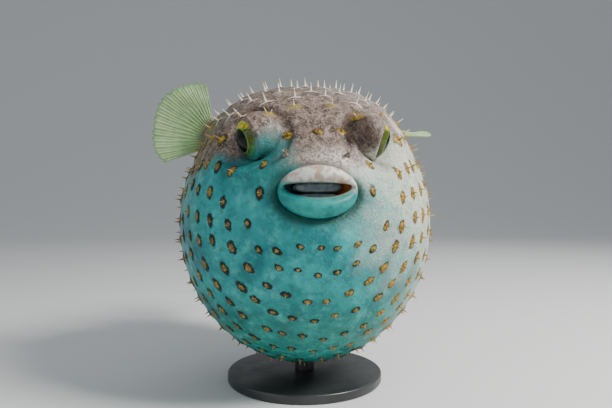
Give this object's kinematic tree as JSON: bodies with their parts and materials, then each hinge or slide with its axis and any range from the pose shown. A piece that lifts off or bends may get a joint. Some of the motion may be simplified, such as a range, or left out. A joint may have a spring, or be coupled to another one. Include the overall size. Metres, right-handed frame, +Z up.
{
  "type": "porcupine pufferfish (spotbase burrfish), inflated",
  "caption": "Inflated burrfish with a big round spiny body, pale belly, spotted sides, bulging eyes and thick lips, on a low display stand.",
  "frame": {"origin": "centre of the stand's underside, straight below the middle of the fish's ball", "axes": "+Z up, -Y the way the fish faces, +X towards the fish's left"},
  "size_m": [0.1953, 0.2531, 0.2024],
  "materials": {
    "skin_back": "damp warm grey-brown skin with pale specks",
    "skin_belly": "damp teal belly paling to white up the left flank, with dark and golden spots at the spines",
    "lips": "smooth and wet, pale above and teal below",
    "fins": "thin, translucent, yellowish green",
    "eyes": "clear wet dome over a golden green iris",
    "teeth": "smooth, dark blue-grey",
    "spines": "pale bone on the back, brown and golden below",
    "stand": "satin black"
  },
  "bodies": {
    "root": {"head": "skin_back", "back": "skin_back", "belly": "skin_belly", "tail_stalk": "skin_back", "lip_upper": "lips", "lip_lower": "lips", "tooth_plate_upper": "teeth", "tooth_plate_lower": "teeth", "eye_right": "eyes", "eye_left": "eyes", "pectoral_fin_right": "fins", "pectoral_fin_left": "fins", "dorsal_fin": "fins", "anal_fin": "fins", "caudal_fin": "fins", "stand_base": "stand", "stand_rod": "stand"}
  },
  "joints": []
}
